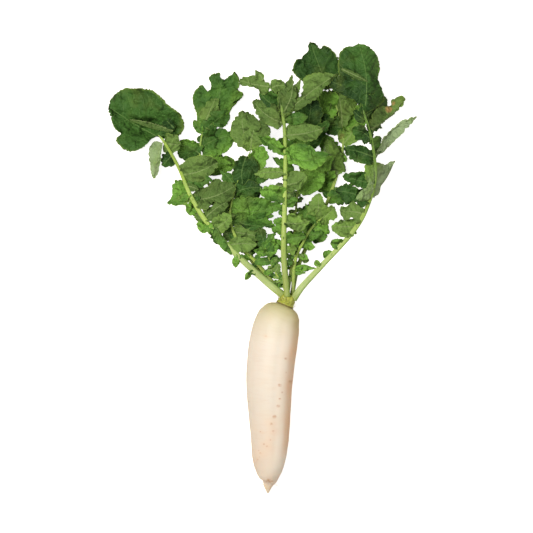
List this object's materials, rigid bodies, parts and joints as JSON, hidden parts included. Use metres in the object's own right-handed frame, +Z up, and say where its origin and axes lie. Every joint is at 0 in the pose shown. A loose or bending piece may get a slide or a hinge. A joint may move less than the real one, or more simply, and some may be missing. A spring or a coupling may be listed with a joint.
{
  "type": "daikon radish",
  "caption": "Freshly pulled daikon radish lying on its side: long white tapering root, short green crown and a fan of lobed, toothed leaves on pale stalks.",
  "frame": {"origin": "middle of the flat rest spot under the root's belly, on the surface that the daikon lies on", "axes": "+Z up; -Y towards the root's tip; +Y out along the leaves; +X to the right seen from above with the leaves away from the viewer"},
  "size_m": [0.3869, 0.5672, 0.0605],
  "materials": {
    "root_skin": "smooth, moist, satin ivory-white skin, faintly ringed, with small tan pores and a pale green-yellow shoulder",
    "crown_green": "satin yellow-green stem with brown, dry leaf scars round its foot",
    "leaf_green": "deep green satin upper sides, matt grey-green undersides, pale yellow-green stalks and veins"
  },
  "bodies": {
    "root": {"root": "root_skin", "crown": "crown_green", "leaf_far_left": "leaf_green", "leaf_upper_right": "leaf_green", "leaf_back": "leaf_green", "leaf_inner_left": "leaf_green", "leaf_young_right": "leaf_green", "leaf_young_left": "leaf_green", "leaf_left": "leaf_green", "leaf_right": "leaf_green", "leaf_centre": "leaf_green"}
  },
  "joints": []
}
